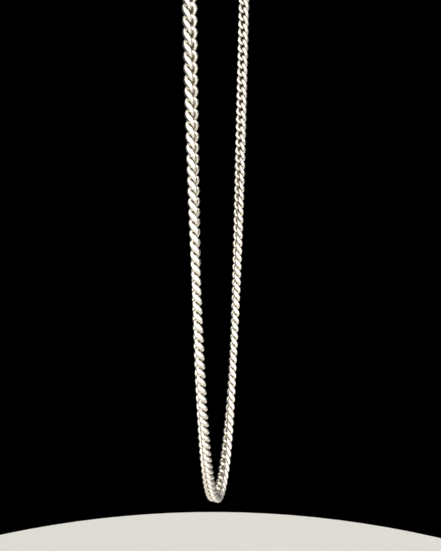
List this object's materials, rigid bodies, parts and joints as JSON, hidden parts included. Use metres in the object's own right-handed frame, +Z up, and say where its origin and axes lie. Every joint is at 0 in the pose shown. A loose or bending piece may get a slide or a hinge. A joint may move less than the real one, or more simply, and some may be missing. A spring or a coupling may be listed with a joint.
{
  "type": "cuban link chain necklace",
  "caption": "Neck chain of twisted, interlocking curb links in polished silver, closed at the back by a plain barrel clasp and hanging in a long narrow loop.",
  "frame": {"origin": "middle of the clasp's underside, where the top of the loop rests on what holds it", "axes": "+Z up, against the hang of the loop; X across the loop, with the strand that is nearer the camera in the picture at -X; Y through the loop"},
  "size_m": [0.1106, 0.0046, 0.2007],
  "materials": {
    "links": "polished silver, ground flat on both faces",
    "clasp_metal": "polished silver"
  },
  "bodies": {
    "root": {"left_chain": "links", "right_chain": "links", "clasp": "clasp_metal"}
  },
  "joints": []
}
